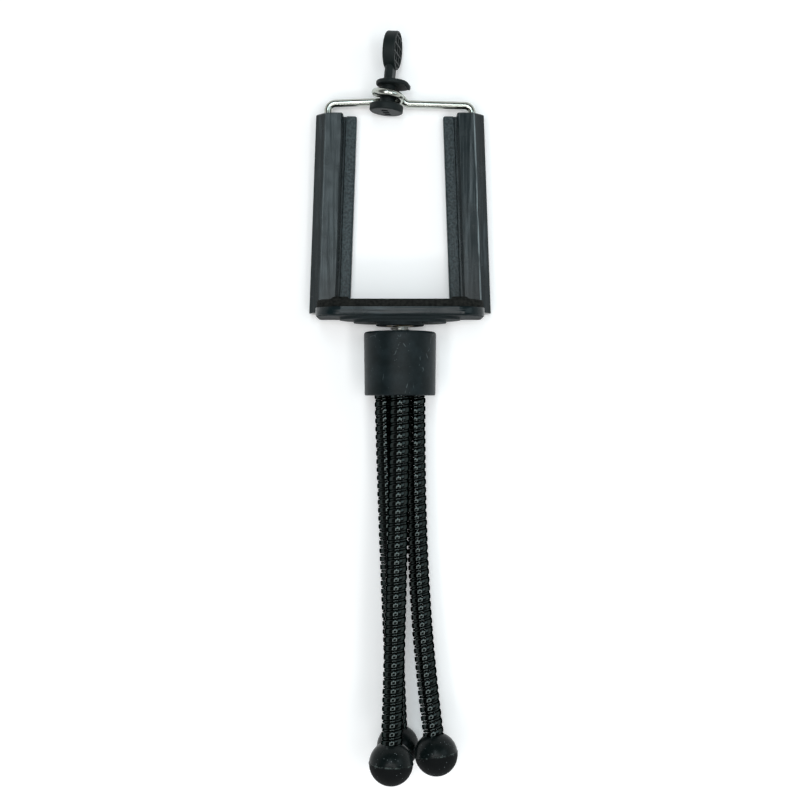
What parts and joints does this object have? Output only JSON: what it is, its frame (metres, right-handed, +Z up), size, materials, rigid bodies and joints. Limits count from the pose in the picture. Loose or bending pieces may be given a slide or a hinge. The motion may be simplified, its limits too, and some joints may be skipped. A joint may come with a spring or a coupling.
{
  "type": "flexible phone tripod",
  "caption": "Pocket tripod with wound bendable legs on ball feet, and a spring clamp with a foam shelf and a wire bail that holds a phone.",
  "frame": {"origin": "middle of the floor under the part as it lies on its back", "axes": "+Y along the stud from the feet to the pull tab, +Z up from the floor, +X across the clamp"},
  "size_m": [0.0598, 0.2409, 0.0321],
  "materials": {
    "hub_plastic": "satin black moulding",
    "stud_steel": "zinc plated",
    "leg_wire": "gloss black coated steel",
    "foot_rubber": "matte black",
    "clamp_plastic": "semi-gloss black moulding",
    "insert_brass": "turned",
    "pad_foam": "matte foam",
    "fastener_steel": "plain steel",
    "wire_steel": "bright nickel plate",
    "tab_rubber": "matte black soft moulding"
  },
  "bodies": {
    "hub": {"hub": "hub_plastic", "stud": "stud_steel"},
    "clamp": {"clamp_base": "clamp_plastic", "thread_insert": "insert_brass", "shelf_pad": "pad_foam", "left_post": "clamp_plastic", "right_post": "clamp_plastic", "post_screws": "fastener_steel", "left_spring": "fastener_steel", "right_spring": "fastener_steel"},
    "bail": {"bail_wire": "wire_steel", "left_collar": "fastener_steel", "right_collar": "fastener_steel"},
    "tab": {"pull_tab": "tab_rubber"},
    "leg_front": {"gooseneck_front": "leg_wire", "foot_front": "foot_rubber"},
    "leg_left": {"gooseneck_left": "leg_wire", "foot_left": "foot_rubber"},
    "leg_right": {"gooseneck_right": "leg_wire", "foot_right": "foot_rubber"}
  },
  "joints": [
    {"name": "clamp_swivel", "type": "hinge", "parent": "hub", "child": "clamp", "pos_m": [0, 0.02597, 0.01225], "axis": [0, 1, 0], "continuous": true},
    {"name": "bail_slide", "type": "slide", "parent": "clamp", "child": "bail", "axis": [0, 1, 0], "range_m": [0, 0.024], "stiffness_N_per_m": 120, "springref_m": -0.02, "deforming": ["left_spring", "right_spring"]},
    {"name": "tab_swivel", "type": "hinge", "parent": "bail", "child": "tab", "pos_m": [-0.004, 0.09952, 0.0086], "axis": [0.1045, 0.9945, 0], "continuous": true},
    {"name": "leg_front_bend", "type": "hinge", "parent": "hub", "child": "leg_front", "pos_m": [-0.00029, -0.01853, 0.01868], "axis": [-1, 0, 0], "range_deg": [0, 70], "deforming": ["gooseneck_front"]},
    {"name": "leg_left_bend", "type": "hinge", "parent": "hub", "child": "leg_left", "pos_m": [-0.00442, -0.01853, 0.00911], "axis": [0.5, 0, -0.866], "range_deg": [0, 70], "deforming": ["gooseneck_left"]},
    {"name": "leg_right_bend", "type": "hinge", "parent": "hub", "child": "leg_right", "pos_m": [0.00502, -0.01853, 0.00948], "axis": [0.5, 0, 0.866], "range_deg": [0, 70], "deforming": ["gooseneck_right"]}
  ]
}
